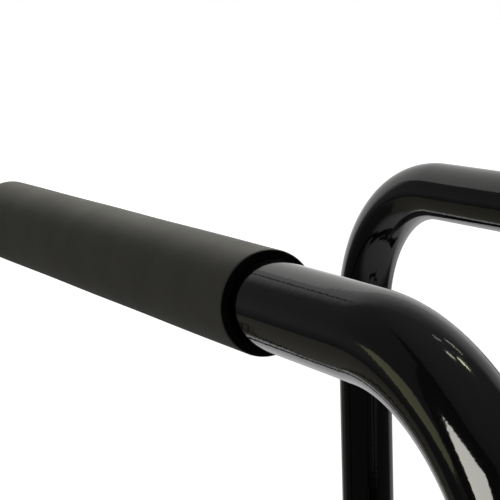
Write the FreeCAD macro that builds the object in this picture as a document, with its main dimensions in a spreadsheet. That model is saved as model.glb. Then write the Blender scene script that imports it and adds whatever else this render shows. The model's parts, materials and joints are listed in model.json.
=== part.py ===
import FreeCAD
import Part
import Sketcher
import math
import os
import sys

# A wall-mounted, fold-away pull-up frame: a fixed rear hoop on two wall plates, and a wider front
# hoop with a foam grip, carried by four arms that make a parallelogram linkage on each side.
# Frame: millimetres, X along the bars, +Y into the wall, +Z up, origin in the wall plane at the
# centre of the wall bolts.

DIMENSIONS = {
    # hoops
    "tube_diameter": 32,
    "tube_wall": 2,
    "bend_radius": 85,
    "stud_spacing": 406.4,
    "front_leg_spacing": 572,
    "wall_to_rear_bar": 110,
    "bar_spacing": 248,
    "rear_bar_height": 430,
    "front_bar_rise": 6,
    "leg_tail": 40,
    # foam grip
    "grip_length": 266,
    "grip_wall": 3.2,
    "grip_edge_radius": 0.8,
    # wall plates and standoffs
    "plate_width": 60,
    "plate_length": 360,
    "plate_thickness": 5,
    "plate_corner_radius": 8,
    "wall_hole_diameter": 11,
    "outer_hole_pitch": 300,
    "inner_hole_pitch": 100,
    "standoff_diameter": 28,
    "standoff_wall": 2.5,
    "standoff_pitch": 200,
    # linkage arms
    "upper_pivot_height": 80,
    "arm_drop": 325,
    "arm_width": 40,
    "arm_height": 50,
    "arm_wall": 3,
    "arm_corner_radius": 4,
    "arm_tail": 25,
    "arm_cap_thickness": 3,
    "arm_cap_depth": 12,
    # pivots
    "bolt_diameter": 10,
    "bolt_head_diameter": 22,
    "bolt_head_height": 3.4,
    "bolt_head_edge": 1.2,
    "bolt_overrun": 2,
    "bolt_hole_clearance": 0.25,
    "bush_diameter": 16,
    "running_clearance": 0.05,
    "open_pivot_clearance": 0.3,
    "side_clearance": 0.2,
    "saddle_diameter": 24,
    "saddle_thickness": 3,
    "nut_width": 17,
    "nut_height": 7,
    "nut_collar_height": 2.5,
    "nut_collar_diameter": 14,
    # stops
    "shelf_thickness": 8,
    "shelf_start": 42,
    "shelf_end": 78,
    "shelf_side_inset": 1,
    "gusset_thickness": 6,
    "gusset_height": 45,
    "bumper_diameter": 24,
    "bumper_height": 6.8,
    "bumper_gap": 0.2,
    "bumper_stem_diameter": 8,
    "bumper_barb_diameter": 11,
    "bumper_barb_height": 4,
    "bumper_barb_tip_diameter": 4,
    # end caps of the hoop legs
    "cap_flange": 3,
    "cap_depth": 15,
}

# Expressions shared by several pieces. Each reads the sheet, so a change there moves them all.
TUBE_RADIUS = "Dims.tube_diameter / 2"
BORE_RADIUS = "(Dims.tube_diameter / 2 - Dims.tube_wall)"
REAR_X = "Dims.stud_spacing / 2"
FRONT_X = "Dims.front_leg_spacing / 2"
REAR_Y = "(-Dims.wall_to_rear_bar)"
FRONT_Y = "(-Dims.wall_to_rear_bar - Dims.bar_spacing)"
UPPER_Z = "Dims.upper_pivot_height"
LOWER_Z = "(Dims.upper_pivot_height - Dims.arm_drop)"
LEG_END_Z = "(Dims.upper_pivot_height - Dims.arm_drop - Dims.leg_tail)"
ARM_X = "(Dims.stud_spacing + Dims.front_leg_spacing) / 4"
ARM_INNER_X = f"({ARM_X} - Dims.arm_width / 2)"
ARM_OUTER_X = f"({ARM_X} + Dims.arm_width / 2)"
SHELF_TOP_Z = "(Dims.upper_pivot_height - Dims.arm_height / 2 - Dims.bumper_gap - Dims.bumper_height)"
BUMPER_Y = "(-Dims.wall_to_rear_bar - (Dims.shelf_start + Dims.shelf_end) / 2)"

# Tolerances for picking edges: a length or radius in mm, and the cosine of an angle.
SAME_LENGTH = 0.01
PARALLEL = 0.999

SIDES = {"left": -1, "right": 1}
LEVELS = {"upper": UPPER_Z, "lower": LOWER_Z}

ALONG_X = FreeCAD.Rotation(FreeCAD.Vector(0, 1, 0), 90)
ALONG_MINUS_Y = FreeCAD.Rotation(FreeCAD.Vector(1, 0, 0), 90)
UPRIGHT = FreeCAD.Rotation()

doc = FreeCAD.newDocument("PullUpBar")
pieces = []


def make_sheet():
    sheet = doc.addObject("Spreadsheet::Sheet", "Dims")
    for row, (alias, value) in enumerate(DIMENSIONS.items(), start=1):
        sheet.set(f"A{row}", alias.replace("_", " "))
        sheet.set(f"B{row}", str(value))
        sheet.setAlias(f"B{row}", alias)
    doc.recompute()


def keep(shape_object, label):
    """Marks an object as a finished sub-part and gives it its own name."""
    shape_object.Label = label
    pieces.append(shape_object)
    return shape_object


def bind(shape_object, **expressions):
    for name, expression in expressions.items():
        shape_object.setExpression(name, expression)
    return shape_object


def put(shape_object, x="0", y="0", z="0", turn=UPRIGHT):
    """Places an object: a fixed turn, and a position bound to the sheet."""
    shape_object.Placement = FreeCAD.Placement(FreeCAD.Vector(), turn)
    for axis, expression in zip("xyz", (x, y, z)):
        shape_object.setExpression(f"Placement.Base.{axis}", f"({expression}) * 1 mm")
    return shape_object


# ---- helpers for primitives ----


def cylinder(name, radius, length, x="0", y="0", z="0", turn=UPRIGHT):
    rod = doc.addObject("Part::Cylinder", name)
    bind(rod, Radius=f"({radius}) * 1 mm", Height=f"({length}) * 1 mm")
    return put(rod, x, y, z, turn)


def cut(name, base, tool):
    result = doc.addObject("Part::Cut", name)
    result.Base = base
    result.Tool = tool
    return result


def fuse(name, shapes):
    result = doc.addObject("Part::MultiFuse", name)
    result.Shapes = shapes
    return result


def group(label, solids):
    """A set of identical small pieces kept together as one node of separate solids."""
    result = doc.addObject("Part::Compound", label)
    result.Links = solids
    return keep(result, label)


def start_x(side, near, far):
    """Where a cylinder along +X starts on each side, from its distances to the middle plane."""
    return near if side > 0 else f"-({far})"


def across(name, side, near, far, radius, y, z):
    """A cylinder along X between two distances from the middle plane."""
    return cylinder(name, radius, f"({far}) - ({near})", start_x(side, near, far), y, z, ALONG_X)


# ---- helpers for bodies and sketches ----


def new_body(label):
    body = doc.addObject("PartDesign::Body", label)
    return keep(body, label)


def new_sketch(body, role, name):
    sketch = body.newObject("Sketcher::SketchObject", name)
    plane = next(item for item in body.Origin.OriginFeatures if item.Role == role)
    sketch.AttachmentSupport = [(plane, "")]
    sketch.MapMode = "FlatFace"
    return sketch


def number(expression):
    """The present value of an expression on the sheet."""
    return float(doc.getObject("Dims").evalExpression(expression))


def constrain(sketch, kind, *references, value):
    index = sketch.addConstraint(Sketcher.Constraint(kind, *references, number(value)))
    sketch.setExpression(f"Constraints[{index}]", f"({value}) * 1 mm")


def draw_circle(sketch, x, y, radius):
    centre = FreeCAD.Vector(number(x), number(y), 0)
    circle = Part.Circle(centre, FreeCAD.Vector(0, 0, 1), number(radius))
    geometry = sketch.addGeometry(circle, False)
    constrain(sketch, "Radius", geometry, value=radius)
    constrain(sketch, "DistanceX", -1, 1, geometry, 3, value=x)
    constrain(sketch, "DistanceY", -1, 1, geometry, 3, value=y)


def draw_polygon(sketch, corners):
    """A closed outline whose every corner is bound by its distance to the sketch's origin."""
    points = [FreeCAD.Vector(number(x), number(y), 0) for x, y in corners]
    first = None
    for index, (x, y) in enumerate(corners):
        line = Part.LineSegment(points[index], points[(index + 1) % len(points)])
        geometry = sketch.addGeometry(line, False)
        if first is None:
            first = geometry
        else:
            sketch.addConstraint(Sketcher.Constraint("Coincident", geometry - 1, 2, geometry, 1))
        constrain(sketch, "DistanceX", -1, 1, geometry, 1, value=x)
        constrain(sketch, "DistanceY", -1, 1, geometry, 1, value=y)
    sketch.addConstraint(Sketcher.Constraint("Coincident", geometry, 2, first, 1))


def draw_rectangle(sketch, left, right, bottom, top):
    draw_polygon(sketch, [(left, bottom), (right, bottom), (right, top), (left, top)])


def pad(body, sketch, length, both_ways=False):
    feature = body.newObject("PartDesign::Pad", "Pad")
    feature.Profile = sketch
    feature.Midplane = both_ways
    feature.setExpression("Length", f"({length}) * 1 mm")
    return feature


def drill(body, sketch):
    """Cuts a sketch through the whole body, both ways."""
    feature = body.newObject("PartDesign::Pocket", "Holes")
    feature.Profile = sketch
    feature.Type = "ThroughAll"
    feature.Midplane = True
    return feature


def straight_edges(shape, direction, length):
    """Names of the edges of one length that run along a direction."""
    names = []
    for index, edge in enumerate(shape.Edges, start=1):
        if not isinstance(edge.Curve, Part.Line):
            continue
        along = edge.tangentAt(edge.FirstParameter)
        if abs(along.dot(direction)) > PARALLEL and abs(edge.Length - length) < SAME_LENGTH:
            names.append(f"Edge{index}")
    return names


def round_edges(body, names, radius):
    solid = body.Tip
    feature = body.newObject("PartDesign::Fillet", "Rounding")
    feature.Base = (solid, names)
    feature.setExpression("Radius", f"({radius}) * 1 mm")
    return feature


# ---- hoops ----


def draw_hoop_path(sketch, half_width, height):
    """Up the left leg, round the bend, along the bar, round and down the right leg."""
    w = number(half_width)
    r = number("Dims.bend_radius")
    top = number(height)
    point = FreeCAD.Vector
    normal = point(0, 0, 1)
    quarter = math.pi / 2
    left_bend = Part.Circle(point(-w + r, top - r, 0), normal, r)
    right_bend = Part.Circle(point(w - r, top - r, 0), normal, r)
    sketch.addGeometry(Part.LineSegment(point(-w, 0, 0), point(-w, top - r, 0)), False)
    sketch.addGeometry(Part.ArcOfCircle(left_bend, quarter, 2 * quarter), False)
    sketch.addGeometry(Part.LineSegment(point(-w + r, top, 0), point(w - r, top, 0)), False)
    sketch.addGeometry(Part.ArcOfCircle(right_bend, 0, quarter), False)
    sketch.addGeometry(Part.LineSegment(point(w, top - r, 0), point(w, 0, 0)), False)
    for first, first_end, second, second_end in ((0, 2, 1, 2), (1, 1, 2, 1), (2, 2, 3, 2), (3, 1, 4, 1)):
        sketch.addConstraint(Sketcher.Constraint("Tangent", first, first_end, second, second_end))
    sketch.addConstraint(Sketcher.Constraint("Equal", 1, 3))
    constrain(sketch, "Radius", 1, value="Dims.bend_radius")
    constrain(sketch, "DistanceX", -1, 1, 0, 1, value=f"-({half_width})")
    constrain(sketch, "DistanceY", -1, 1, 0, 1, value="0")
    constrain(sketch, "DistanceX", -1, 1, 4, 2, value=half_width)
    constrain(sketch, "DistanceY", -1, 1, 4, 2, value="0")
    constrain(sketch, "DistanceY", -1, 1, 2, 1, value=height)
    sketch.addConstraint(Sketcher.Constraint("Vertical", 0))
    sketch.addConstraint(Sketcher.Constraint("Vertical", 4))


def hoop(label, half_width, y, rise):
    """One bent tube: an inverted U with a bolt hole across each leg at both pivot heights."""
    body = new_body(label)
    height = f"(Dims.rear_bar_height + {rise} - {LEG_END_Z})"
    path = new_sketch(body, "XZ_Plane", f"{label}_path")
    draw_hoop_path(path, half_width, height)
    section = new_sketch(body, "XY_Plane", f"{label}_section")
    draw_circle(section, f"-({half_width})", "0", TUBE_RADIUS)
    draw_circle(section, f"-({half_width})", "0", BORE_RADIUS)
    doc.recompute()
    tube = body.newObject("PartDesign::AdditivePipe", "Tube")
    tube.Profile = section
    tube.Spine = (path, [f"Edge{index}" for index in range(1, 6)])
    doc.recompute()
    holes = new_sketch(body, "YZ_Plane", f"{label}_holes")
    for pivot in LEVELS.values():
        draw_circle(holes, "0", f"{pivot} - {LEG_END_Z}", "Dims.bolt_diameter / 2 + Dims.bolt_hole_clearance")
    drill(body, holes)
    put(body, y=y, z=LEG_END_Z)


def leg_cap(label, side, half_width, y):
    """A plastic plug in the open end of a leg."""
    x = f"{side} * {half_width}"
    flange = cylinder(f"{label}_flange", TUBE_RADIUS, "Dims.cap_flange", x, y, f"{LEG_END_Z} - Dims.cap_flange")
    plug = cylinder(f"{label}_plug", BORE_RADIUS, "Dims.cap_depth", x, y, LEG_END_Z)
    keep(fuse(label, [flange, plug]), label)


def foam_grip():
    z = "Dims.rear_bar_height + Dims.front_bar_rise"
    half = "Dims.grip_length / 2"
    outer_radius = f"{TUBE_RADIUS} + Dims.grip_wall"
    outer = cylinder("grip_outer", outer_radius, "Dims.grip_length", f"-{half}", FRONT_Y, z, ALONG_X)
    bore = cylinder("grip_bore", TUBE_RADIUS, "Dims.grip_length", f"-{half}", FRONT_Y, z, ALONG_X)
    sleeve = cut("grip_sleeve", outer, bore)
    doc.recompute()
    wide = number(outer_radius)
    rims = [
        index
        for index, edge in enumerate(sleeve.Shape.Edges, start=1)
        if isinstance(edge.Curve, Part.Circle) and abs(edge.Curve.Radius - wide) < SAME_LENGTH
    ]
    rounded = doc.addObject("Part::Fillet", "grip_rounded")
    rounded.Base = sleeve
    radius = number("Dims.grip_edge_radius")
    rounded.Edges = [(index, radius, radius) for index in rims]
    keep(rounded, "foam_grip")


# ---- wall plates, standoffs and stops ----


def wall_plate(name, side):
    body = new_body(f"wall_plate_{name}")
    outline = new_sketch(body, "XZ_Plane", f"wall_plate_{name}_outline")
    half_width = "Dims.plate_width / 2"
    half_length = "Dims.plate_length / 2"
    draw_rectangle(outline, f"-{half_width}", half_width, f"-{half_length}", half_length)
    for pitch in ("Dims.outer_hole_pitch", "Dims.inner_hole_pitch"):
        for level in (-1, 1):
            draw_circle(outline, "0", f"{level} * {pitch} / 2", "Dims.wall_hole_diameter / 2")
    pad(body, outline, "Dims.plate_thickness")
    doc.recompute()
    corners = straight_edges(body.Shape, FreeCAD.Vector(0, 1, 0), number("Dims.plate_thickness"))
    round_edges(body, corners, "Dims.plate_corner_radius")
    put(body, x=f"{side} * {REAR_X}")


def standoff(name, side, level_name, level):
    """A short tube from a wall plate to the rear leg, its end cut to the leg's curve."""
    label = f"standoff_{level_name}_{name}"
    x = f"{side} * {REAR_X}"
    z = f"{level} * Dims.standoff_pitch / 2"
    start = "-Dims.plate_thickness"
    length = "Dims.wall_to_rear_bar - Dims.plate_thickness"
    radius = "Dims.standoff_diameter / 2"
    outer = cylinder(f"{label}_outer", radius, length, x, start, z, ALONG_MINUS_Y)
    bore = cylinder(f"{label}_bore", f"{radius} - Dims.standoff_wall", length, x, start, z, ALONG_MINUS_Y)
    leg_bottom = f"{z} - Dims.standoff_diameter"
    leg = cylinder(f"{label}_leg", TUBE_RADIUS, "2 * Dims.standoff_diameter", x, REAR_Y, leg_bottom)
    hollow = cut(f"{label}_hollow", outer, bore)
    keep(cut(label, hollow, leg), label)


def stop_bracket(name, side):
    """An L-shaped shelf in front of the rear leg, with a gusset under it; the arm rests on its wing."""
    label = f"stop_bracket_{name}"
    body = new_body(label)
    inner = f"{side} * (-{TUBE_RADIUS})"
    root = f"{side} * ({TUBE_RADIUS})"
    wing = f"{side} * ({ARM_OUTER_X} - {REAR_X} - Dims.shelf_side_inset)"
    far = "-Dims.shelf_end"
    near = "-Dims.shelf_start"
    shelf = new_sketch(body, "XY_Plane", f"{label}_shelf")
    draw_polygon(shelf, [(inner, "0"), (inner, far), (wing, far), (wing, near), (root, near), (root, "0")])
    stem_x = f"{side} * ({ARM_X} - {REAR_X})"
    draw_circle(shelf, stem_x, f"({far} + {near}) / 2", "Dims.bumper_stem_diameter / 2")
    pad(body, shelf, "Dims.shelf_thickness")
    gusset = new_sketch(body, "YZ_Plane", f"{label}_gusset")
    draw_polygon(gusset, [("0", "0"), (far, "0"), (far, "-Dims.shelf_thickness"), ("0", "-Dims.gusset_height")])
    pad(body, gusset, "Dims.gusset_thickness", both_ways=True)
    leg = new_sketch(body, "XY_Plane", f"{label}_leg")
    draw_circle(leg, "0", "0", TUBE_RADIUS)
    drill(body, leg)
    put(body, f"{side} * {REAR_X}", REAR_Y, f"{SHELF_TOP_Z} - Dims.shelf_thickness")


def stop_bumper(name, side):
    """A rubber button on the shelf, its stem pushed through the shelf and held by a barb below."""
    label = f"stop_bumper_{name}"
    x = f"{side} * ({ARM_X})"
    stem_radius = "Dims.bumper_stem_diameter / 2"
    under = f"{SHELF_TOP_Z} - Dims.shelf_thickness"
    barb_z = f"{under} - Dims.bumper_barb_height"
    barb_radius = "Dims.bumper_barb_diameter / 2"
    pad_disc = cylinder(f"{label}_pad", "Dims.bumper_diameter / 2", "Dims.bumper_height", x, BUMPER_Y, SHELF_TOP_Z)
    stem = cylinder(f"{label}_stem", stem_radius, "Dims.shelf_thickness", x, BUMPER_Y, under)
    barb = doc.addObject("Part::Cone", f"{label}_barb")
    bind(barb, Radius1="Dims.bumper_barb_tip_diameter / 2 * 1 mm", Radius2=f"{barb_radius} * 1 mm")
    bind(barb, Height="Dims.bumper_barb_height * 1 mm")
    put(barb, x, BUMPER_Y, barb_z)
    keep(fuse(label, [pad_disc, stem, barb]), label)


# ---- arms ----


def arm(label, side, pivot):
    """A rectangular tube from the rear leg to the front leg with a cross bore at each pivot."""
    body = new_body(label)
    section = new_sketch(body, "XZ_Plane", f"{label}_section")
    w = "Dims.arm_width / 2"
    h = "Dims.arm_height / 2"
    draw_rectangle(section, f"-{w}", w, f"-{h}", h)
    w_in = "(Dims.arm_width / 2 - Dims.arm_wall)"
    h_in = "(Dims.arm_height / 2 - Dims.arm_wall)"
    draw_rectangle(section, f"-{w_in}", w_in, f"-{h_in}", h_in)
    length = "(Dims.bar_spacing + 2 * Dims.arm_tail)"
    pad(body, section, length)
    holes = new_sketch(body, "YZ_Plane", f"{label}_holes")
    for y in ("-Dims.arm_tail", "-Dims.arm_tail - Dims.bar_spacing"):
        draw_circle(holes, y, "0", "Dims.bush_diameter / 2")
    drill(body, holes)
    doc.recompute()
    outer = [
        name
        for name in straight_edges(body.Shape, FreeCAD.Vector(0, 1, 0), number(length))
        if abs(abs(body.Shape.getElement(name).CenterOfMass.x) - number(w)) < SAME_LENGTH
    ]
    round_edges(body, outer, "Dims.arm_corner_radius")
    put(body, f"{side} * {ARM_X}", f"{REAR_Y} + Dims.arm_tail", pivot)


def arm_cap(label, side, pivot, end):
    """A plastic plug in one open end of an arm: a flange outside and a plug inside."""
    body = new_body(label)
    flange = new_sketch(body, "XZ_Plane", f"{label}_flange")
    w = "Dims.arm_width / 2"
    h = "Dims.arm_height / 2"
    draw_rectangle(flange, f"-{w}", w, f"-{h}", h)
    pad(body, flange, "Dims.arm_cap_thickness")
    doc.recompute()
    thickness = number("Dims.arm_cap_thickness")
    corners = straight_edges(body.Shape, FreeCAD.Vector(0, 1, 0), thickness)
    round_edges(body, corners, "Dims.arm_corner_radius")
    plug = new_sketch(body, "XZ_Plane", f"{label}_plug")
    w_in = "(Dims.arm_width / 2 - Dims.arm_wall)"
    h_in = "(Dims.arm_height / 2 - Dims.arm_wall)"
    draw_rectangle(plug, f"-{w_in}", w_in, f"-{h_in}", h_in)
    insert = pad(body, plug, "Dims.arm_cap_depth")
    insert.Reversed = True
    if end == "front":
        y = f"{FRONT_Y} - Dims.arm_tail"
        turn = UPRIGHT
    else:
        y = f"{REAR_Y} + Dims.arm_tail"
        turn = FreeCAD.Rotation(FreeCAD.Vector(0, 0, 1), 180)
    put(body, f"{side} * {ARM_X}", y, pivot, turn)


def bush(name, side, pivot, y, clearance):
    """A flangeless bush across an arm, flush with both faces, that turns on the pivot bolt."""
    bore_radius = f"Dims.bolt_diameter / 2 + {clearance}"
    outer = across(f"{name}_outer", side, ARM_INNER_X, ARM_OUTER_X, "Dims.bush_diameter / 2", y, pivot)
    bore = across(f"{name}_bore", side, ARM_INNER_X, ARM_OUTER_X, bore_radius, y, pivot)
    return cut(name, outer, bore)


def bushes(level_name, pivot, end, clearance):
    y = REAR_Y if end == "rear" else FRONT_Y
    label = f"{level_name}_arm_{end}_bushes"
    solids = [bush(f"{label}_{name}", side, pivot, y, clearance) for name, side in SIDES.items()]
    group(label, solids)


# ---- pivot hardware on the legs ----


def saddle(name, side, near, far, leg_x, y, z):
    """A round washer whose face is cut to the curve of the leg that it sits on."""
    disc = across(f"{name}_disc", side, near, far, "Dims.saddle_diameter / 2", y, z)
    hole = across(f"{name}_hole", side, near, far, "Dims.bolt_diameter / 2", y, z)
    leg_bottom = f"{z} - Dims.saddle_diameter"
    leg = cylinder(f"{name}_leg", TUBE_RADIUS, "2 * Dims.saddle_diameter", f"{side} * {leg_x}", y, leg_bottom)
    return cut(name, cut(f"{name}_ring", disc, hole), leg)


def pivot_bolt(name, side, head, tip, y, z):
    """A low-headed bolt across an arm and a leg; head and tip are distances from the middle plane."""
    direction = 1 if number(tip) > number(head) else -1
    head_outer = f"{head} - {direction} * Dims.bolt_head_height"
    near, far = (head_outer, head) if direction > 0 else (head, head_outer)
    disc = across(f"{name}_head", side, near, far, "Dims.bolt_head_diameter / 2", y, z)
    near, far = (head, tip) if direction > 0 else (tip, head)
    shank = across(f"{name}_shank", side, near, far, "Dims.bolt_diameter / 2", y, z)
    return fuse(name, [disc, shank])


def hex_nut(name, side, near, far, collar, y, z):
    """A locking nut: a hexagon, and a round collar on its outer face."""
    prism = doc.addObject("Part::Prism", f"{name}_hexagon")
    prism.Polygon = 6
    bind(prism, Circumradius="Dims.nut_width / sqrt(3) * 1 mm", Height="Dims.nut_height * 1 mm")
    put(prism, start_x(side, near, far), y, z, ALONG_X)
    collar_near, collar_far = collar
    ring = across(f"{name}_collar", side, collar_near, collar_far, "Dims.nut_collar_diameter / 2", y, z)
    bore_near = near if number(near) < number(collar_near) else collar_near
    bore_far = far if number(far) > number(collar_far) else collar_far
    bore = across(f"{name}_bore", side, bore_near, bore_far, "Dims.bolt_diameter / 2", y, z)
    return cut(name, fuse(f"{name}_solid", [prism, ring]), bore)


def rear_pivots():
    """Bolt heads outside the arms, nuts inside the rear legs."""
    leg_inner = f"({REAR_X} - {TUBE_RADIUS})"
    washer_face = f"({leg_inner} - Dims.saddle_thickness)"
    nut_face = f"({washer_face} - Dims.nut_height)"
    collar_face = f"({nut_face} - Dims.nut_collar_height)"
    tip = f"({collar_face} - Dims.bolt_overrun)"
    head = f"({ARM_OUTER_X} + Dims.side_clearance)"
    spacer_face = f"({ARM_INNER_X} - Dims.side_clearance)"
    bolts, spacers, washers, nuts = [], [], [], []
    for name, side in SIDES.items():
        for level_name, z in LEVELS.items():
            tag = f"rear_{level_name}_{name}"
            bolts.append(pivot_bolt(f"{tag}_bolt", side, head, tip, REAR_Y, z))
            spacers.append(saddle(f"{tag}_spacer", side, REAR_X, spacer_face, REAR_X, REAR_Y, z))
            washers.append(saddle(f"{tag}_washer", side, washer_face, REAR_X, REAR_X, REAR_Y, z))
            collar = (collar_face, nut_face)
            nuts.append(hex_nut(f"{tag}_nut", side, nut_face, washer_face, collar, REAR_Y, z))
    group("rear_pivot_bolts", bolts)
    group("rear_saddle_spacers", spacers)
    group("rear_saddle_washers", washers)
    group("rear_lock_nuts", nuts)


def front_pivots():
    """Bolt heads inside the arms, nuts outside the front legs."""
    leg_outer = f"({FRONT_X} + {TUBE_RADIUS})"
    washer_face = f"({leg_outer} + Dims.saddle_thickness)"
    nut_face = f"({washer_face} + Dims.nut_height)"
    collar_face = f"({nut_face} + Dims.nut_collar_height)"
    tip = f"({collar_face} + Dims.bolt_overrun)"
    head = f"({ARM_INNER_X} - Dims.side_clearance)"
    spacer_face = f"({ARM_OUTER_X} + Dims.side_clearance)"
    bolts, spacers, washers, nuts = [], [], [], []
    for name, side in SIDES.items():
        for level_name, z in LEVELS.items():
            tag = f"front_{level_name}_{name}"
            bolts.append(pivot_bolt(f"{tag}_bolt", side, head, tip, FRONT_Y, z))
            spacers.append(saddle(f"{tag}_spacer", side, spacer_face, FRONT_X, FRONT_X, FRONT_Y, z))
            washers.append(saddle(f"{tag}_washer", side, FRONT_X, washer_face, FRONT_X, FRONT_Y, z))
            collar = (nut_face, collar_face)
            nuts.append(hex_nut(f"{tag}_nut", side, washer_face, nut_face, collar, FRONT_Y, z))
    group("front_pivot_bolts", bolts)
    group("front_saddle_spacers", spacers)
    group("front_saddle_washers", washers)
    group("front_lock_nuts", nuts)


# ---- the whole frame ----


def build():
    make_sheet()
    hoop("rear_hoop", REAR_X, REAR_Y, "0")
    hoop("front_hoop", FRONT_X, FRONT_Y, "Dims.front_bar_rise")
    foam_grip()
    for name, side in SIDES.items():
        leg_cap(f"rear_leg_cap_{name}", side, REAR_X, REAR_Y)
        leg_cap(f"front_leg_cap_{name}", side, FRONT_X, FRONT_Y)
        wall_plate(name, side)
        standoff(name, side, "upper", 1)
        standoff(name, side, "lower", -1)
        stop_bracket(name, side)
        stop_bumper(name, side)
        for level_name, pivot in LEVELS.items():
            arm(f"{level_name}_arm_{name}", side, pivot)
            for end in ("front", "rear"):
                arm_cap(f"{level_name}_arm_cap_{name}_{end}", side, pivot, end)
    for level_name, pivot in LEVELS.items():
        bushes(level_name, pivot, "rear", "Dims.running_clearance")
    bushes("upper", UPPER_Z, "front", "Dims.running_clearance")
    bushes("lower", LOWER_Z, "front", "Dims.open_pivot_clearance")
    rear_pivots()
    front_pivots()
    doc.recompute()


def check():
    failed = [item.Name for item in doc.Objects if "Invalid" in item.State or "Error" in item.State]
    broken = [piece.Label for piece in pieces if piece.Shape.isNull() or not piece.Shape.isValid()]
    if failed or broken:
        sys.exit(f"failed: {failed} broken: {broken}")


def write():
    os.makedirs("parts", exist_ok=True)
    for piece in pieces:
        piece.Shape.exportStep(os.path.join("parts", f"{piece.Label}.step"))
    print(len(pieces), "nodes written")


build()
check()
write()
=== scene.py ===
import json
import math

import bmesh
import bpy
from mathutils import Matrix, Vector


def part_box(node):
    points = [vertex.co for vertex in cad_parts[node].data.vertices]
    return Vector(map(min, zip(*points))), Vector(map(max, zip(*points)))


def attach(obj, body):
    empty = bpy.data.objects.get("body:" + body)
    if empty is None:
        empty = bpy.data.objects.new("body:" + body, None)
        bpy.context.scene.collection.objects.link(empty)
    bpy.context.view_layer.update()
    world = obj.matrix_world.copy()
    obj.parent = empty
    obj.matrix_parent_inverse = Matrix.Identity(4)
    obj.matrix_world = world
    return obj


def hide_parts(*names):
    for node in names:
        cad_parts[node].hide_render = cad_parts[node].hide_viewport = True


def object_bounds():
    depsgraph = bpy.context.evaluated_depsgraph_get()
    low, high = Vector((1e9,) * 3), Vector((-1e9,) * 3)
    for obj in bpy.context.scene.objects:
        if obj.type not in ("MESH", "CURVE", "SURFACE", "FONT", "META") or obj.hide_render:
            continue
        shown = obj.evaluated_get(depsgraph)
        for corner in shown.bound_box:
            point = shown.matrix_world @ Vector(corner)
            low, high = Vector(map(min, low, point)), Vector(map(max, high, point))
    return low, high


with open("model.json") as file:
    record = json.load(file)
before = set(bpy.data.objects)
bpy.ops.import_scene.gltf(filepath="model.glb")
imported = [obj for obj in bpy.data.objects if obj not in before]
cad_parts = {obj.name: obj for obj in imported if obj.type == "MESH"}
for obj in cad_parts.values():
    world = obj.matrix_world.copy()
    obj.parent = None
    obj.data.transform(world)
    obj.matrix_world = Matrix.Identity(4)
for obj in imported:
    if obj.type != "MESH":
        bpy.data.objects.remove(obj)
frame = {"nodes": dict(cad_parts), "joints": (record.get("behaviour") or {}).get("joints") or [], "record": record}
cad_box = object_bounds()

# ---- sizes, in metres, read from the frame or named here ----

MM = 0.001
SHARP_ANGLE = math.radians(35)
BROKEN_EDGE = 0.6 * MM
BROKEN_EDGE_STEPS = 3
SIDE_CLEARANCE = 0.2 * MM
# Hoops.
BEND_RADIUS = 85 * MM
TUBE_WALL = 2 * MM
TUBE_SIDES = 96
RUN_STEPS = 24
BEND_STEPS = 40
# Foam grip. Faces that look along the bar more than END_FACING are its cut ends.
GRIP_EDGE = 0.8 * MM
GRIP_WAVE = 0.05 * MM
GRIP_FIT = 0.05 * MM
GRIP_RETURN = 4 * MM
GRIP_SKIN = 0.5 * MM
GRIP_SIDES = 128
GRIP_STEPS = 60
RIM_STEPS = 6
END_FACING = 0.8
# Bolts.
BOLT_RADIUS = 5 * MM
BOLT_OVERRUN = 2 * MM
BOLT_TIP = 0.8 * MM
HEAD_RADIUS = 11 * MM
HEAD_HEIGHT = 3.4 * MM
HEAD_EDGE = 1.2 * MM
HEAD_LIP = 0.3 * MM
SOCKET_HALF = 3 * MM
SOCKET_DEPTH = 2.2 * MM
THREAD_PITCH = 1.5 * MM
THREAD_DEPTH = 0.7 * MM
THREAD_RINGS = 24
HARDWARE_SIDES = 72
# Lock nuts and their nylon rings.
NUT_HALF = 8.5 * MM
NUT_HEIGHT = 7 * MM
NUT_CHAMFER = 0.4 * MM
NUT_CHAMFER_ANGLE = math.radians(30)
NUT_CHAMFER_STEPS = 5
COLLAR_RADIUS = 7 * MM
COLLAR_HEIGHT = 2.5 * MM
COLLAR_EDGE = 1.1 * MM
INSERT_INSET = 1.15 * MM
INSERT_SUNK = 0.7 * MM
INSERT_LIFT = 0.2 * MM
# Stop brackets and rubber buttons.
SHELF_THICKNESS = 8 * MM
GUSSET_HALF = 3 * MM
BUMPER_SIDES = 64
BUMPER_EDGE = 2 * MM
BUMPER_FOOT = 0.5 * MM
BUMPER_STEM = 4 * MM
BARB_RADIUS = 5.5 * MM
BARB_BACK = 5.2 * MM
BARB_EDGE = 0.6 * MM
BARB_TIP = 2 * MM
DIMPLE_RADIUS = 5 * MM
DIMPLE_FLOOR = 3.5 * MM
DIMPLE_MIDDLE = 0.5 * MM
DIMPLE_DEPTH = 0.8 * MM
# Welds. A bead dips by WELD_DIP between ripples, and an open bead's ends are WELD_START as thick.
# The bead along a standoff's saddle is SADDLE_STRETCH as long as a flat circle.
WELD_RADIUS = 2.2 * MM
WELD_RIPPLE = 2 * MM
WELD_DIP = 0.07
WELD_START = 0.3
WELD_SIDES = 12
RINGS_PER_RIPPLE = 6
SADDLE_STRETCH = 1.05
# Floor.
FLOOR_GAP = 60 * MM
FLOOR_SIZE = 60
FLOOR_GLOW = 0.97
# The studio stands about the front bar's right bend.
DOME_CENTRE = Vector((0.25, -0.35, 0.38))
DOME_RADIUS = 6.0
DOME_STRENGTH = 1.0
TOP_LIGHT_OFFSET = Vector((-0.45, 0.65, 0.59))
TOP_LIGHT_POWER = 27.0
TOP_LIGHT_SIZE = 0.6
# The studio is pale towards this side: behind the object's left end.
PALE_SIDE = (-0.8, 0.6, 0.0)
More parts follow.
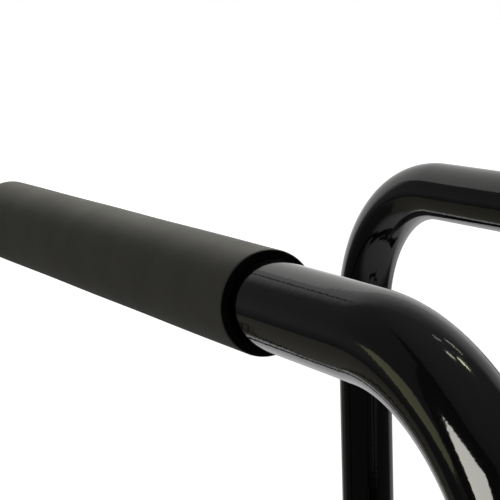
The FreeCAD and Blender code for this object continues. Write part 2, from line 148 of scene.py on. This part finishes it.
# Brightness of the studio behind and in front of the object, from straight down to straight up.
BEHIND_LEVELS = [
    (0.0, 0.45),
    (0.1, 0.8),
    (0.28, 0.8),
    (0.36, 0.45),
    (0.44, 1.0),
    (0.6, 0.72),
    (0.75, 0.5),
    (0.88, 0.24),
]
AHEAD_LEVELS = [
    (0.0, 0.45),
    (0.1, 0.4),
    (0.22, 0.06),
    (0.38, 0.06),
    (0.5, 0.14),
    (0.65, 0.12),
    (0.85, 0.13),
    (1.0, 0.2),
]
# How far the front levels give way to the back levels, towards the pale side.
SIDE_LEVELS = [(0.52, 0.0), (0.66, 1.0)]
PANEL_X = -0.66
PANEL_Y = -0.015
PANEL_GAP = 0.2
PANEL_SCALE = (1.08, 0.63, 1)
PANEL_STRENGTH = 0.75
# Turns of the camera in degrees: round from -X, down, and about its own line of sight.
CAMERA_AT = (0.6178, -0.6200, 0.5445)
CAMERA_TURN = (27.76, 9.2, 1.807)
CAMERA_LENS = 115.35
CAMERA_SENSOR = 36

JOINTS = {joint["name"]: joint for joint in frame["joints"]}
UPPER_Z = JOINTS["fold_upper"]["pos_m"][2]
LOWER_Z = JOINTS["fold_lower"]["pos_m"][2]
REAR_Y = JOINTS["fold_upper"]["pos_m"][1]
FRONT_Y = JOINTS["fold_front"]["pos_m"][1]


class Hoop:
    """The centre line of one hoop, worked out from its CAD node's box."""

    def __init__(self, node):
        low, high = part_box(node)
        self.radius = (high.y - low.y) / 2
        self.y = (high.y + low.y) / 2
        self.half_width = high.x - self.radius
        self.bottom = low.z
        self.top = high.z - self.radius


FRONT = Hoop("front_hoop")
REAR = Hoop("rear_hoop")


# ---- mesh helpers ----


def make_piece(name, bm, material, body):
    mesh = bpy.data.meshes.new(name)
    bmesh.ops.recalc_face_normals(bm, faces=bm.faces)
    bm.to_mesh(mesh)
    bm.free()
    mesh.shade_smooth()
    mesh.set_sharp_from_angle(angle=SHARP_ANGLE)
    mesh.materials.append(material)
    piece = bpy.data.objects.new(name, mesh)
    bpy.context.scene.collection.objects.link(piece)
    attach(piece, body)
    return piece


def bridge_rings(bm, rings, closed=False):
    """Joins rings of vertices, one after the other, with quads."""
    pairs = list(zip(rings, rings[1:]))
    if closed:
        pairs.append((rings[-1], rings[0]))
    for first, second in pairs:
        count = len(first)
        for index in range(count):
            after = (index + 1) % count
            bm.faces.new((first[index], first[after], second[after], second[index]))


def sweep(bm, path, radius, sides):
    """A tube of given radius along (point, tangent, side) triples; the side fixes the twist."""
    rings = []
    for point, tangent, side in path:
        up = tangent.cross(side).normalized()
        ring = []
        for index in range(sides):
            turn = 2 * math.pi * index / sides
            ring.append(bm.verts.new(point + radius * (side * math.cos(turn) + up * math.sin(turn))))
        rings.append(ring)
    bridge_rings(bm, rings)
    return rings


def spin_profile(bm, profile, centre, axis, sides):
    """Turns (along, radius) points about an axis; a radius may be a function of the turn."""
    axis = axis.normalized()
    first = axis.orthogonal().normalized()
    second = axis.cross(first)
    rings = []
    for along, radius in profile:
        ring = []
        for index in range(sides):
            turn = 2 * math.pi * index / sides
            spoke = first * math.cos(turn) + second * math.sin(turn)
            reach = radius(turn) if callable(radius) else radius
            ring.append(bm.verts.new(centre + axis * along + spoke * reach))
        rings.append(ring)
    bridge_rings(bm, rings)
    return rings


def close_ends(bm, rings):
    bm.faces.new(rings[0])
    bm.faces.new(rings[-1])


def rounded(along, radius, edge, start, end, steps=5):
    """Profile points of a rounded edge about (along, radius), between two angles in degrees."""
    points = []
    for step in range(steps + 1):
        angle = math.radians(start + (end - start) * step / steps)
        points.append((along + edge * math.cos(angle), radius + edge * math.sin(angle)))
    return points


def hexagon(half_flat, limit=math.inf):
    """The radius of a hexagon at each turn, cut off at a limit."""

    def radius(turn):
        off = (turn + math.pi / 6) % (math.pi / 3) - math.pi / 6
        return min(half_flat / math.cos(off), limit)

    return radius


def thread(along):
    """The radius of a screw thread at each turn, at one place along the bolt."""

    def radius(turn):
        phase = (along / THREAD_PITCH - turn / (2 * math.pi)) % 1
        return BOLT_RADIUS - THREAD_DEPTH * (1 - abs(2 * phase - 1))

    return radius


# ---- node materials ----


def new_material(name, color, roughness, specular=0.5):
    material = bpy.data.materials.new(name)
    material.use_nodes = True
    shader = material.node_tree.nodes["Principled BSDF"]
    shader.inputs["Base Color"].default_value = (*color, 1)
    shader.inputs["Roughness"].default_value = roughness
    shader.inputs["Specular IOR Level"].default_value = specular
    return material, material.node_tree, shader


def object_noise(tree, scale, detail):
    position = tree.nodes.new("ShaderNodeTexCoord")
    noise = tree.nodes.new("ShaderNodeTexNoise")
    noise.inputs["Scale"].default_value = scale
    noise.inputs["Detail"].default_value = detail
    tree.links.new(position.outputs["Object"], noise.inputs["Vector"])
    return noise.outputs["Fac"]


def add_bump(tree, shader, height, strength, distance, before=None):
    bump = tree.nodes.new("ShaderNodeBump")
    bump.inputs["Strength"].default_value = strength
    bump.inputs["Distance"].default_value = distance
    tree.links.new(height, bump.inputs["Height"])
    if before:
        tree.links.new(before, bump.inputs["Normal"])
    tree.links.new(bump.outputs["Normal"], shader.inputs["Normal"])
    return bump.outputs["Normal"]


def vary(tree, socket, factor, low, high):
    """Drives a colour or a number between two values by a factor."""
    # In a vector range, inputs 6, 9 and 10 are the value, the low end and the high end.
    ramp = tree.nodes.new("ShaderNodeMapRange")
    if socket.type == "RGBA":
        ramp.data_type = "FLOAT_VECTOR"
        ramp.inputs[9].default_value = low
        ramp.inputs[10].default_value = high
        spread = tree.nodes.new("ShaderNodeCombineXYZ")
        for index in range(3):
            tree.links.new(factor, spread.inputs[index])
        tree.links.new(spread.outputs[0], ramp.inputs[6])
        tree.links.new(ramp.outputs["Vector"], socket)
    else:
        ramp.inputs["To Min"].default_value = low
        ramp.inputs["To Max"].default_value = high
        tree.links.new(factor, ramp.inputs["Value"])
        tree.links.new(ramp.outputs["Result"], socket)


def gloss_black_paint():
    """Gloss black paint with a faint orange peel and slow changes of roughness."""
    material, tree, shader = new_material("gloss_black_paint", (0.003, 0.003, 0.0028), 0.07)
    peel = object_noise(tree, 420, 1.5)
    waves = object_noise(tree, 60, 1.0)
    first = add_bump(tree, shader, peel, 0.06, 0.0004)
    add_bump(tree, shader, waves, 0.05, 0.0012, first)
    vary(tree, shader.inputs["Roughness"], object_noise(tree, 25, 3.0), 0.04, 0.1)
    return material


def foam_rubber():
    """Smooth closed-cell foam: matt charcoal with fine pores and a slight sheen."""
    material, tree, shader = new_material("charcoal_foam", (0.055, 0.054, 0.046), 0.85, specular=0.35)
    shader.inputs["Sheen Weight"].default_value = 0.02
    shader.inputs["Sheen Roughness"].default_value = 0.5
    pores = tree.nodes.new("ShaderNodeTexVoronoi")
    pores.inputs["Scale"].default_value = 2600
    position = tree.nodes.new("ShaderNodeTexCoord")
    tree.links.new(position.outputs["Object"], pores.inputs["Vector"])
    first = add_bump(tree, shader, pores.outputs["Distance"], 0.18, 0.0002)
    add_bump(tree, shader, object_noise(tree, 90, 3.0), 0.12, 0.0006, first)
    cloud = object_noise(tree, 45, 4.0)
    vary(tree, shader.inputs["Base Color"], cloud, (0.05, 0.048, 0.04), (0.098, 0.096, 0.081))
    return material


def painted_shade_foam_end():
    """The sleeve's cut ends: rough, with open cells, and nearly black; the near-black colour is painted shade."""
    # The near-black base colour of the cut ends is painted shade.
    material, tree, shader = new_material("painted_shade_foam_end", (0.004, 0.004, 0.004), 0.95, specular=0.1)
    cells = object_noise(tree, 1800, 3.0)
    add_bump(tree, shader, cells, 0.6, 0.0006)
    vary(tree, shader.inputs["Base Color"], cells, (0.001, 0.001, 0.001), (0.009, 0.009, 0.008))
    return material


def black_nylon():
    """Moulded nylon with a fine spark-eroded texture."""
    material, tree, shader = new_material("black_nylon", (0.015, 0.015, 0.015), 0.5)
    add_bump(tree, shader, object_noise(tree, 1500, 2.0), 0.15, 0.0002)
    vary(tree, shader.inputs["Roughness"], object_noise(tree, 300, 2.0), 0.42, 0.6)
    return material


def bumper_rubber():
    material, tree, shader = new_material("bumper_rubber", (0.02, 0.02, 0.019), 0.75)
    add_bump(tree, shader, object_noise(tree, 900, 3.0), 0.2, 0.0003)
    vary(tree, shader.inputs["Roughness"], object_noise(tree, 200, 3.0), 0.65, 0.85)
    return material


def zinc_steel():
    """Bright zinc plate with fine turning marks and slight cloudiness."""
    material, tree, shader = new_material("zinc_steel", (0.55, 0.55, 0.56), 0.3)
    shader.inputs["Metallic"].default_value = 1.0
    add_bump(tree, shader, object_noise(tree, 800, 3.0), 0.08, 0.0002)
    vary(tree, shader.inputs["Roughness"], object_noise(tree, 120, 4.0), 0.22, 0.42)
    cloud = object_noise(tree, 60, 3.0)
    vary(tree, shader.inputs["Base Color"], cloud, (0.46, 0.46, 0.48), (0.62, 0.62, 0.62))
    return material


PAINT = gloss_black_paint()
FOAM = foam_rubber()
PAINTED_SHADE_FOAM_END = painted_shade_foam_end()
NYLON = black_nylon()
RUBBER = bumper_rubber()
ZINC = zinc_steel()
SLOT_MATERIALS = {
    "black_paint": PAINT,
    "foam": FOAM,
    "black_nylon": NYLON,
    "bumper_rubber": RUBBER,
    "zinc_steel": ZINC,
}


def dress_cad_nodes():
    """Gives each carried-over CAD node its node material."""
    slots = {part["node"]: part["material_slot"] for part in frame["record"]["subparts"]}
    for node, piece in frame["nodes"].items():
        material = SLOT_MATERIALS[slots[node]]
        for index in range(len(piece.material_slots)):
            piece.material_slots[index].material = material
        if not piece.material_slots:
            piece.data.materials.append(material)


# ---- hoops ----


def hoop_path(hoop):
    """Points up the left leg, round, along the bar, round and down, with tangents."""
    forward = Vector((0, 1, 0))
    straight = hoop.half_width - BEND_RADIUS
    shoulder = hoop.top - BEND_RADIUS
    path = []

    def run(start, end):
        for step in range(RUN_STEPS):
            path.append((start.lerp(end, step / RUN_STEPS), (end - start).normalized(), forward))

    def bend(centre_x, start, end):
        for step in range(BEND_STEPS):
            angle = math.radians(start + (end - start) * step / BEND_STEPS)
            spoke = Vector((math.cos(angle), 0, math.sin(angle)))
            tangent = Vector((math.sin(angle), 0, -math.cos(angle)))
            centre = Vector((centre_x, hoop.y, shoulder))
            path.append((centre + spoke * BEND_RADIUS, tangent, forward))

    left_foot = Vector((-hoop.half_width, hoop.y, hoop.bottom))
    right_foot = Vector((hoop.half_width, hoop.y, hoop.bottom))
    run(left_foot, Vector((-hoop.half_width, hoop.y, shoulder)))
    bend(-straight, 180, 90)
    run(Vector((-straight, hoop.y, hoop.top)), Vector((straight, hoop.y, hoop.top)))
    bend(straight, 90, 0)
    run(Vector((hoop.half_width, hoop.y, shoulder)), right_foot)
    path.append((right_foot, Vector((0, 0, -1)), forward))
    return path


def make_hoop(name, hoop, body):
    """The bent tube: a smooth outer skin, the bore, and the cut ends between them."""
    bm = bmesh.new()
    path = hoop_path(hoop)
    outer = sweep(bm, path, hoop.radius, TUBE_SIDES)
    inner = sweep(bm, path, hoop.radius - TUBE_WALL, TUBE_SIDES)
    bridge_rings(bm, [outer[0], inner[0]])
    bridge_rings(bm, [outer[-1], inner[-1]])
    tube = make_piece(f"{name}_tube", bm, PAINT, body)
    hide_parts(f"{name}_hoop")


def grip_profile(length, radius, bore):
    """The sleeve's (along, radius) points: left end, rounded rim, skin, rounded rim, right end."""
    rim = []
    for step in range(RIM_STEPS + 1):
        angle = math.radians(90 * step / RIM_STEPS)
        rim.append((GRIP_EDGE * (1 - math.sin(angle)), radius - GRIP_EDGE * (1 - math.cos(angle))))
    left_rim = list(reversed(rim))
    right_rim = [(length - along, r) for along, r in rim]
    middle = [(2 * GRIP_EDGE, radius)]
    middle += [(length * step / GRIP_STEPS, radius) for step in range(1, GRIP_STEPS)]
    middle.append((length - 2 * GRIP_EDGE, radius))
    return [(0, bore)] + left_rim + middle + right_rim + [(length, bore), (length - GRIP_RETURN, bore)]


def make_uneven(bm, bore, length):
    """Moves the sleeve's skin in and out by two slow waves, and leaves the bore's rings alone."""
    for vert in bm.verts:
        spoke = Vector((0, vert.co.y - FRONT.y, vert.co.z - FRONT.top))
        if spoke.length > bore + GRIP_SKIN:
            turn = math.atan2(spoke.z, spoke.y)
            along = vert.co.x / length
            wave = math.sin(3 * turn + 5 * along) + math.sin(17 * along + 2 * turn)
            vert.co += spoke.normalized() * wave * GRIP_WAVE


def make_foam_grip():
    """A sleeve with rounded rims, a slightly uneven skin, and cut ends darkened by painted shade."""
    low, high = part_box("foam_grip")
    length = high.x - low.x
    bore = FRONT.radius + GRIP_FIT
    profile = grip_profile(length, (high.z - low.z) / 2, bore)
    bm = bmesh.new()
    spin_profile(bm, profile, Vector((low.x, FRONT.y, FRONT.top)), Vector((1, 0, 0)), GRIP_SIDES)
    make_uneven(bm, bore, length)
    sleeve = make_piece("foam_sleeve", bm, FOAM, "front_frame")
    # The cut ends take a near-black copy of the foam material: painted shade.
    sleeve.data.materials.append(PAINTED_SHADE_FOAM_END)
    for face in sleeve.data.polygons:
        if abs(face.normal.x) > END_FACING:
            face.material_index = 1
    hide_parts("foam_grip")


# ---- pivot hardware ----


def pivot_places(end):
    """For each pivot at the rear or front: the head's face, the nut's face, and the way to the tip."""
    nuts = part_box(f"{end}_lock_nuts")[1].x
    arm_low, arm_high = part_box("upper_arm_right")
    if end == "rear":
        head, nut, way, y = arm_high.x + SIDE_CLEARANCE, nuts, -1, REAR_Y
    else:
        head, nut, way, y = arm_low.x - SIDE_CLEARANCE, nuts - NUT_HEIGHT - COLLAR_HEIGHT, 1, FRONT_Y
    for side in (-1, 1):
        for z in (UPPER_Z, LOWER_Z):
            yield Vector((side * head, y, z)), Vector((side * nut, y, z)), Vector((side * way, 0, 0))


def add_bolt(bm, head, nut, way):
    """A low round head with a hexagon socket, a plain shank, and a threaded and chamfered tip."""
    length = (nut - head).length + NUT_HEIGHT + COLLAR_HEIGHT + BOLT_OVERRUN
    thread_start = length - BOLT_OVERRUN - COLLAR_HEIGHT
    floor = SOCKET_DEPTH - HEAD_HEIGHT
    profile = [(floor, hexagon(SOCKET_HALF)), (HEAD_LIP - HEAD_HEIGHT, hexagon(SOCKET_HALF))]
    profile.append((-HEAD_HEIGHT, hexagon(SOCKET_HALF + HEAD_LIP)))
    profile += rounded(HEAD_EDGE - HEAD_HEIGHT, HEAD_RADIUS - HEAD_EDGE, HEAD_EDGE, 180, 90)
    profile += [(-HEAD_LIP, HEAD_RADIUS), (0, HEAD_RADIUS - HEAD_LIP)]
    profile += [(0, BOLT_RADIUS), (thread_start, BOLT_RADIUS)]
    for step in range(1, THREAD_RINGS):
        along = thread_start + (length - BOLT_TIP - thread_start) * step / THREAD_RINGS
        profile.append((along, thread(along)))
    profile.append((length, BOLT_RADIUS - THREAD_DEPTH - HEAD_LIP))
    close_ends(bm, spin_profile(bm, profile, head, way, HARDWARE_SIDES))


def add_nut(bm, nut, way):
    """A hexagon chamfered at both faces, with a round collar that is rolled in at its rim."""
    slope = math.tan(NUT_CHAMFER_ANGLE)
    start = NUT_HALF - NUT_CHAMFER
    deep = (NUT_HALF / math.cos(math.pi / 6) - start) * slope
    chamfer = []
    for step in range(NUT_CHAMFER_STEPS + 1):
        along = deep * step / NUT_CHAMFER_STEPS
        chamfer.append((along, hexagon(NUT_HALF, start + along / slope)))
    profile = [(0, BOLT_RADIUS)] + chamfer
    profile += [(NUT_HEIGHT - along, radius) for along, radius in reversed(chamfer)]
    profile.append((NUT_HEIGHT, COLLAR_RADIUS))
    inner_top = NUT_HEIGHT + COLLAR_HEIGHT - COLLAR_EDGE
    profile += rounded(inner_top, COLLAR_RADIUS - COLLAR_EDGE, COLLAR_EDGE, 90, 0)
    profile += [(inner_top, COLLAR_RADIUS - COLLAR_EDGE), (NUT_HEIGHT, BOLT_RADIUS)]
    rings = spin_profile(bm, profile, nut, way, HARDWARE_SIDES)
    bridge_rings(bm, [rings[-1], rings[0]])


def add_nut_insert(bm, nut, way):
    """The nylon ring in a lock nut's collar."""
    outer = COLLAR_RADIUS - INSERT_INSET
    foot = NUT_HEIGHT + INSERT_LIFT
    top = NUT_HEIGHT + COLLAR_HEIGHT - INSERT_SUNK
    profile = [(foot, BOLT_RADIUS), (foot, outer), (top, outer), (top, BOLT_RADIUS)]
    rings = spin_profile(bm, profile, nut, way, HARDWARE_SIDES)
    bridge_rings(bm, [rings[-1], rings[0]])


def make_pivot_hardware(end, body):
    bolts, nuts, inserts = bmesh.new(), bmesh.new(), bmesh.new()
    for head, nut, way in pivot_places(end):
        add_bolt(bolts, head, nut, way)
        add_nut(nuts, nut, way)
        add_nut_insert(inserts, nut, way)
    bolt_piece = make_piece(f"{end}_socket_bolts", bolts, ZINC, body)
    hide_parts(f"{end}_pivot_bolts")
    nut_piece = make_piece(f"{end}_collar_nuts", nuts, ZINC, body)
    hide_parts(f"{end}_lock_nuts")
    make_piece(f"{end}_nut_inserts", inserts, NYLON, body)


def make_bumper(name):
    """A rubber button: a rounded pad with a shallow dimple, a stem and a barb under the shelf."""
    low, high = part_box(f"stop_bumper_{name}")
    centre = Vector(((low.x + high.x) / 2, (low.y + high.y) / 2, low.z))
    shelf_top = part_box(f"stop_bracket_{name}")[1].z - low.z
    radius = (high.x - low.x) / 2
    height = high.z - low.z
    barb_top = shelf_top - SHELF_THICKNESS
    profile = [(0, BARB_TIP), (barb_top - BARB_EDGE, BARB_RADIUS), (barb_top, BARB_BACK)]
    profile += [(barb_top, BUMPER_STEM), (shelf_top, BUMPER_STEM)]
    profile += [(shelf_top, radius - BUMPER_FOOT), (shelf_top + BUMPER_FOOT, radius)]
    profile += rounded(height - BUMPER_EDGE, radius - BUMPER_EDGE, BUMPER_EDGE, 90, 0)
    profile += [(height, DIMPLE_RADIUS), (height - DIMPLE_DEPTH, DIMPLE_FLOOR)]
    profile.append((height - DIMPLE_DEPTH, DIMPLE_MIDDLE))
    bm = bmesh.new()
    close_ends(bm, spin_profile(bm, profile, centre, Vector((0, 0, 1)), BUMPER_SIDES))
    bumper = make_piece(f"rubber_button_{name}", bm, RUBBER, "wall_frame")
    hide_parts(f"stop_bumper_{name}")


# ---- welds ----


def add_weld(bm, curve, length, closed):
    """A rippled bead along a curve, given as a function from 0 to 1."""
    steps = RINGS_PER_RIPPLE * round(length / WELD_RIPPLE)
    rings = []
    for step in range(steps if closed else steps + 1):
        point = curve(step / steps)
        tangent = (curve((step + 0.5) / steps) - curve((step - 0.5) / steps)).normalized()
        side = tangent.orthogonal().normalized()
        up = tangent.cross(side)
        ripple = abs(math.sin(math.pi * step / RINGS_PER_RIPPLE))
        fade = 1.0 if closed else min(1.0, WELD_START + min(step, steps - step) / RINGS_PER_RIPPLE)
        radius = WELD_RADIUS * (1 - WELD_DIP * (1 - ripple)) * fade
        ring = []
        for index in range(WELD_SIDES):
            turn = 2 * math.pi * index / WELD_SIDES
            ring.append(bm.verts.new(point + radius * (side * math.cos(turn) + up * math.sin(turn))))
        rings.append(ring)
    bridge_rings(bm, rings, closed)
    if not closed:
        close_ends(bm, rings)


def weld_standoff(bm, node):
    """Beads where a standoff meets the wall plate and where it meets the rear leg."""
    low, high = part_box(node)
    x, z = (low.x + high.x) / 2, (low.z + high.z) / 2
    radius = (high.z - low.z) / 2

    def at_plate(part):
        turn = 2 * math.pi * part
        return Vector((x + radius * math.cos(turn), high.y, z + radius * math.sin(turn)))

    def at_leg(part):
        turn = 2 * math.pi * part
        across = radius * math.cos(turn)
        depth = math.sqrt(REAR.radius**2 - across**2)
        return Vector((x + across, REAR.y + depth, z + radius * math.sin(turn)))

    add_weld(bm, at_plate, 2 * math.pi * radius, True)
    add_weld(bm, at_leg, SADDLE_STRETCH * 2 * math.pi * radius, True)


def weld_bracket(bm, side, node):
    """Beads round the leg on top of the shelf, and down both sides of the gusset."""
    low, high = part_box(node)
    x = side * REAR.half_width

    def over_shelf(part):
        turn = math.pi * (1 + part)
        return Vector((x + REAR.radius * math.cos(turn), REAR.y + REAR.radius * math.sin(turn), high.z))

    add_weld(bm, over_shelf, math.pi * REAR.radius, False)
    top = high.z - SHELF_THICKNESS
    for edge in (-GUSSET_HALF, GUSSET_HALF):
        y = REAR.y - math.sqrt(REAR.radius**2 - edge**2)

        def down_gusset(part, edge=edge, y=y):
            return Vector((x + edge, y, top + (low.z - top) * part))

        add_weld(bm, down_gusset, top - low.z, False)


def make_welds():
    bm = bmesh.new()
    for side, name in ((-1, "left"), (1, "right")):
        weld_standoff(bm, f"standoff_upper_{name}")
        weld_standoff(bm, f"standoff_lower_{name}")
        weld_bracket(bm, side, f"stop_bracket_{name}")
    make_piece("weld_beads", bm, PAINT, "wall_frame")


def soften_edges(node):
    """Breaks the sharp edges of a CAD node with a small bevel."""
    bevel = frame["nodes"][node].modifiers.new("broken_edges", "BEVEL")
    bevel.width = BROKEN_EDGE
    bevel.segments = BROKEN_EDGE_STEPS
    bevel.limit_method = "ANGLE"
    bevel.angle_limit = SHARP_ANGLE
    bevel.harden_normals = True


# ---- stage, lights and camera ----


def white_world():
    world = bpy.data.worlds.new("studio")
    bpy.context.scene.world = world
    world.use_nodes = True
    background = world.node_tree.nodes["Background"]
    background.inputs["Color"].default_value = (1, 1, 1, 1)
    background.inputs["Strength"].default_value = 1.0


def emission_material(name, color, strength):
    material = bpy.data.materials.new(name)
    material.use_nodes = True
    tree = material.node_tree
    tree.nodes.clear()
    output = tree.nodes.new("ShaderNodeOutputMaterial")
    glow = tree.nodes.new("ShaderNodeEmission")
    glow.inputs["Color"].default_value = (*color, 1)
    glow.inputs["Strength"].default_value = strength
    tree.links.new(glow.outputs[0], output.inputs["Surface"])
    return material, tree, glow


def grey_ramp(tree, factor, stops):
    """A ramp of grey levels along a factor from 0 to 1."""
    ramp = tree.nodes.new("ShaderNodeValToRGB")
    ramp.color_ramp.interpolation = "EASE"
    elements = ramp.color_ramp.elements
    while len(elements) < len(stops):
        elements.new(0.5)
    for element, (place, level) in zip(elements, stops):
        element.position = place
        element.color = (level, level, level, 1)
    tree.links.new(factor, ramp.inputs["Fac"])
    return ramp.outputs["Color"]


def studio_dome():
    """The room round the object, pale behind and dim in front. The camera doesn't see it."""
    material, tree, glow = emission_material("studio_dome", (1, 1, 1), DOME_STRENGTH)
    place = tree.nodes.new("ShaderNodeTexCoord")
    unit = tree.nodes.new("ShaderNodeVectorMath")
    unit.operation = "NORMALIZE"
    tree.links.new(place.outputs["Object"], unit.inputs[0])
    half = tree.nodes.new("ShaderNodeVectorMath")
    half.operation = "MULTIPLY_ADD"
    half.inputs[1].default_value = (0.5, 0.5, 0.5)
    half.inputs[2].default_value = (0.5, 0.5, 0.5)
    tree.links.new(unit.outputs[0], half.inputs[0])
    parts = tree.nodes.new("ShaderNodeSeparateXYZ")
    tree.links.new(half.outputs[0], parts.inputs[0])
    behind = grey_ramp(tree, parts.outputs["Z"], BEHIND_LEVELS)
    ahead = grey_ramp(tree, parts.outputs["Z"], AHEAD_LEVELS)
    side = tree.nodes.new("ShaderNodeVectorMath")
    side.operation = "DOT_PRODUCT"
    side.inputs[1].default_value = PALE_SIDE
    tree.links.new(unit.outputs[0], side.inputs[0])
    depth = grey_ramp(tree, side.outputs["Value"], SIDE_LEVELS)
    mix = tree.nodes.new("ShaderNodeMix")
    mix.data_type = "RGBA"
    tree.links.new(depth, mix.inputs["Factor"])
    tree.links.new(ahead, mix.inputs["A"])
    tree.links.new(behind, mix.inputs["B"])
    tree.links.new(mix.outputs["Result"], glow.inputs["Color"])
    bpy.ops.mesh.primitive_uv_sphere_add(
        segments=64, ring_count=32, radius=DOME_RADIUS, location=DOME_CENTRE
    )
    dome = bpy.context.object
    dome.name = "studio_dome"
    dome.data.materials.append(material)
    dome.visible_camera = False
    dome.visible_shadow = False


def direction(azimuth, elevation):
    """A unit vector: azimuth from +X towards +Y, and elevation over the horizon, in degrees."""
    a, e = math.radians(azimuth), math.radians(elevation)
    return Vector((math.cos(a) * math.cos(e), math.sin(a) * math.cos(e), math.sin(e)))


def light_card(name, corners, color, strength, reach=0.97):
    """A glowing card on the studio's wall, seen only in reflections, by its corners' directions."""
    material, _, _ = emission_material(name, color, strength)
    bm = bmesh.new()
    card_face = bm.faces.new([bm.verts.new(direction(*corner)) for corner in corners])
    bmesh.ops.poke(bm, faces=[card_face])
    bmesh.ops.subdivide_edges(bm, edges=bm.edges, cuts=5, use_grid_fill=True)
    for vert in bm.verts:
        vert.co = DOME_CENTRE + vert.co.normalized() * DOME_RADIUS * reach
    mesh = bpy.data.meshes.new(name)
    bm.to_mesh(mesh)
    bm.free()
    mesh.materials.append(material)
    card = bpy.data.objects.new(name, mesh)
    bpy.context.scene.collection.objects.link(card)
    card.visible_camera = False
    card.visible_diffuse = False
    card.visible_shadow = False


def overhead_panel():
    """A soft white panel above the bars' left part, which reaches further left and behind."""
    material, _, _ = emission_material("overhead_panel", (1, 0.995, 0.98), PANEL_STRENGTH)
    bpy.ops.mesh.primitive_plane_add(size=1, location=(PANEL_X, PANEL_Y, FRONT.top + PANEL_GAP))
    panel = bpy.context.object
    panel.name = "overhead_panel"
    panel.scale = PANEL_SCALE
    panel.data.materials.append(material)
    panel.visible_camera = False
    panel.visible_shadow = False


def soft_top_light():
    """A soft box above, behind and beyond the front bar's left end. It isn't seen in reflections."""
    data = bpy.data.lights.new("top_light", "AREA")
    data.energy = TOP_LIGHT_POWER
    data.size = TOP_LIGHT_SIZE
    data.color = (1.0, 1.0, 1.04)
    light = bpy.data.objects.new("top_light", data)
    light.location = Vector((0, FRONT.y, FRONT.top)) + TOP_LIGHT_OFFSET
    light.rotation_mode = "QUATERNION"
    light.rotation_quaternion = TOP_LIGHT_OFFSET.to_track_quat("Z", "Y")
    light.visible_glossy = False
    bpy.context.scene.collection.objects.link(light)


def light_cards():
    """The room's bright and dark patches, by the directions of their corners."""
    pale = (1.0, 1.0, 0.75)
    white = (1.0, 1.0, 1.0)
    window = [(-99, 4), (-106, 19), (-105, 27), (-88, 31), (-72, 33), (-72, 22), (-85, 10)]
    light_card("window", window, (1.0, 0.98, 0.9), 10.5)
    doorway = [(-141, 6), (-138, 0), (-136, -5), (-124, -5.5), (-118, 0), (-120, 6), (-127, 10.5), (-136, 10)]
    light_card("doorway", doorway, (1.0, 1.02, 0.62), 0.85)
    light_card("ceiling_light_1", [(99, 64.5), (114, 66.5), (114, 68.5), (99, 66)], (1.0, 1.0, 0.7), 15.0)
    light_card("ceiling_light_2", [(100, 61.5), (113, 63), (113, 64.5), (100, 63)], pale, 1.0)
    light_card("ceiling_light_3", [(117, 72.5), (134, 72.5), (136, 75), (118, 74.5)], pale, 7.0)
    light_card("ceiling_light_4", [(114, 54), (126, 55.5), (127, 57.5), (114, 55.5)], pale, 3.6)
    light_card("ceiling_light_5", [(133, 63.5), (142, 64), (142, 65.5), (133, 65)], white, 2.4)
    skirting = [(-148, -38), (-148, -13), (-176, -13), (-176, -38)]
    light_card("skirting", skirting, (1.0, 0.97, 0.82), 0.17, 0.98)
    shadow = [(-159, -19.5), (-178, -31.5), (-179, -33), (-160, -21.5)]
    light_card("skirting_shadow", shadow, white, 0.0, 0.96)
    light_card("side_glow", [(-8, -12), (-8, -19), (22, -19), (22, -12)], (0.9, 0.92, 1.0), 0.18)
    dark_wall = [(-118, 28), (-120, 46), (-150, 49.5), (-134, 53), (-112, 53), (-98, 51)]
    dark_wall += [(-76, 48), (-45, 47), (-45, 20), (-70, 15), (-106, -2), (-116, -2)]
    light_card("dark_wall", dark_wall, white, 0.05, 0.985)
    light_card("panel_frame", [(-178, 26), (-178, 36), (-176.5, 36), (-176.5, 26)], white, 0.0)


def make_lights():
    studio_dome()
    overhead_panel()
    soft_top_light()
    light_cards()


def make_floor():
    """A plain pale floor for the camera. In light and reflections the dome stands in for it."""
    material, _, shader = new_material("pale_floor", (0.3, 0.3, 0.3), 0.9, specular=0.0)
    shader.inputs["Emission Color"].default_value = (1, 1, 1, 1)
    shader.inputs["Emission Strength"].default_value = FLOOR_GLOW
    low = cad_box[0]
    bpy.ops.mesh.primitive_plane_add(size=FLOOR_SIZE, location=(0, 0, low.z - FLOOR_GAP))
    floor = bpy.context.object
    floor.name = "floor"
    floor.data.materials.append(material)
    floor.visible_diffuse = False
    floor.visible_glossy = False


def make_camera():
    """Stands at the front right, near the bars, with a long lens."""
    data = bpy.data.cameras.new("camera")
    data.sensor_width = CAMERA_SENSOR
    data.lens = CAMERA_LENS
    camera = bpy.data.objects.new("camera", data)
    bpy.context.scene.collection.objects.link(camera)
    yaw, pitch, roll = (math.radians(angle) for angle in CAMERA_TURN)
    forward = Vector((-math.cos(yaw) * math.cos(pitch), math.sin(yaw) * math.cos(pitch), -math.sin(pitch)))
    right = forward.cross(Vector((0, 0, 1))).normalized()
    down = forward.cross(right)
    rolled_right = right * math.cos(roll) + down * math.sin(roll)
    rolled_down = down * math.cos(roll) - right * math.sin(roll)
    turn = Matrix((rolled_right, -rolled_down, -forward)).transposed()
    camera.matrix_world = Matrix.Translation(CAMERA_AT) @ turn.to_4x4()
    bpy.context.scene.camera = camera


def colour_management():
    bpy.context.scene.view_settings.view_transform = "Standard"
    bpy.context.scene.view_settings.look = "None"


dress_cad_nodes()
make_hoop("front", FRONT, "front_frame")
make_hoop("rear", REAR, "wall_frame")
make_foam_grip()
make_pivot_hardware("rear", "wall_frame")
make_pivot_hardware("front", "front_frame")
make_bumper("left")
make_bumper("right")
make_welds()
for side_name in ("left", "right"):
    soften_edges(f"wall_plate_{side_name}")
    soften_edges(f"stop_bracket_{side_name}")
white_world()
make_lights()
make_floor()
make_camera()
colour_management()
